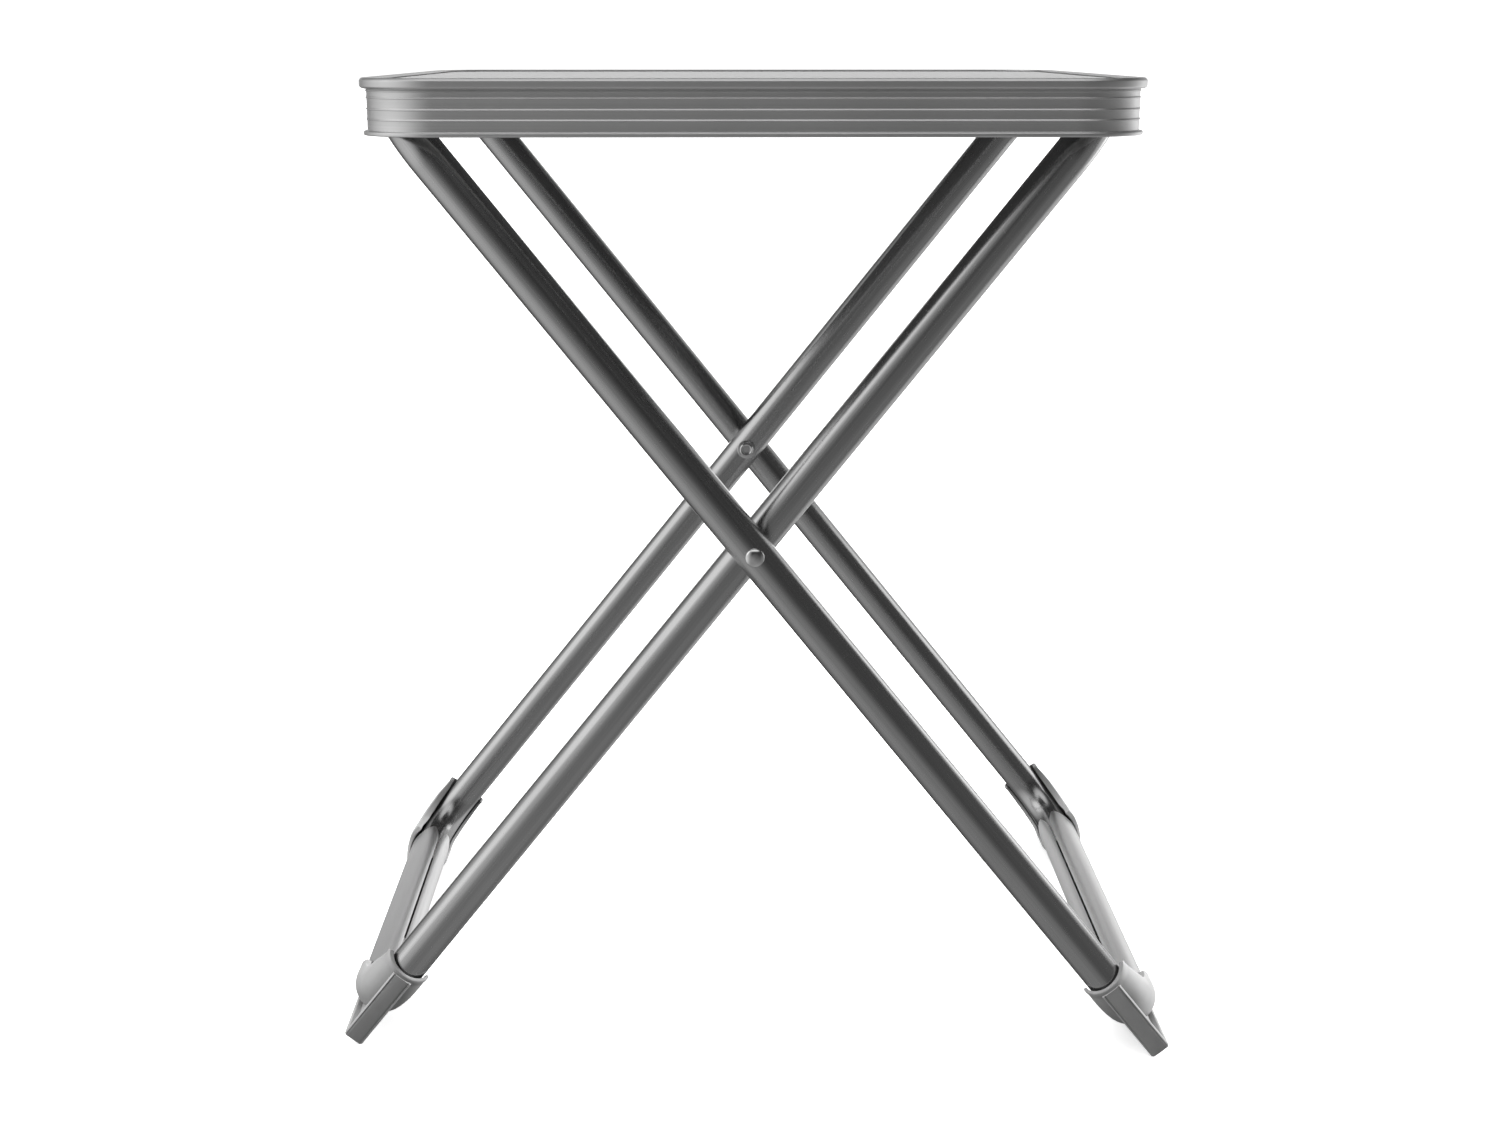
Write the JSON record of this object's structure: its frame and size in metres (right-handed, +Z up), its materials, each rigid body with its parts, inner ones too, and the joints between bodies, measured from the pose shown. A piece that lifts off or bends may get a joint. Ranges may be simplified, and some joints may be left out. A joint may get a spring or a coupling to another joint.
{
  "type": "folding table",
  "caption": "Small folding table: a flat panel in a ribbed metal rim on two crossed bent-tube leg frames that pivot where they cross, with moulded corner feet.",
  "frame": {"origin": "on the floor, below the middle of the pivot axis", "axes": "+X across the crossed legs towards the feet of the outer frame, +Y along the pivot axis towards the back, +Z up"},
  "size_m": [0.4862, 0.394, 0.56],
  "materials": {
    "panel_laminate": "light grey laminate, low sheen",
    "rim_aluminium": "satin anodised extrusion",
    "tube_aluminium": "satin anodised tube",
    "crossbar_aluminium": "matt anodised extrusion",
    "foot_plastic": "moulded, low sheen",
    "spacer_plastic": "moulded",
    "hook_plastic": "moulded",
    "pivot_steel": "bright plated",
    "strap_steel": "zinc plated strip",
    "rivet_aluminium": "plain"
  },
  "bodies": {
    "outer_frame": {"outer_leg_frame": "tube_aluminium", "outer_crossbar": "crossbar_aluminium", "outer_foot_near": "foot_plastic", "outer_foot_far": "foot_plastic", "outer_foot_rivets": "rivet_aluminium", "pivot_rivet_near": "pivot_steel", "pivot_rivet_far": "pivot_steel", "pivot_spacer_near": "spacer_plastic", "pivot_spacer_far": "spacer_plastic", "pivot_washer_near": "pivot_steel", "pivot_washer_far": "pivot_steel"},
    "inner_frame": {"inner_leg_frame": "tube_aluminium", "inner_crossbar": "crossbar_aluminium", "inner_foot_near": "foot_plastic", "inner_foot_far": "foot_plastic", "inner_foot_rivets": "rivet_aluminium"},
    "tabletop": {"tabletop_panel": "panel_laminate", "rim_profile": "rim_aluminium", "hinge_strap_near": "strap_steel", "hinge_strap_far": "strap_steel", "hinge_strap_rivets": "rivet_aluminium", "snap_hook_near": "hook_plastic", "snap_hook_far": "hook_plastic", "snap_hook_rivets": "rivet_aluminium"}
  },
  "joints": [
    {"name": "fold", "type": "hinge", "parent": "outer_frame", "child": "inner_frame", "pos_m": [0, 0, 0.302], "axis": [0, -1, 0], "range_deg": [0, 72]},
    {"name": "tabletop_tilt", "type": "hinge", "parent": "outer_frame", "child": "tabletop", "pos_m": [-0.19283, 0, 0.5433], "axis": [0, -1, 0], "range_deg": [0, 36]}
  ],
  "couplings": [
    {"joint": "tabletop_tilt", "follows": "fold", "ratio": 0.5}
  ]
}
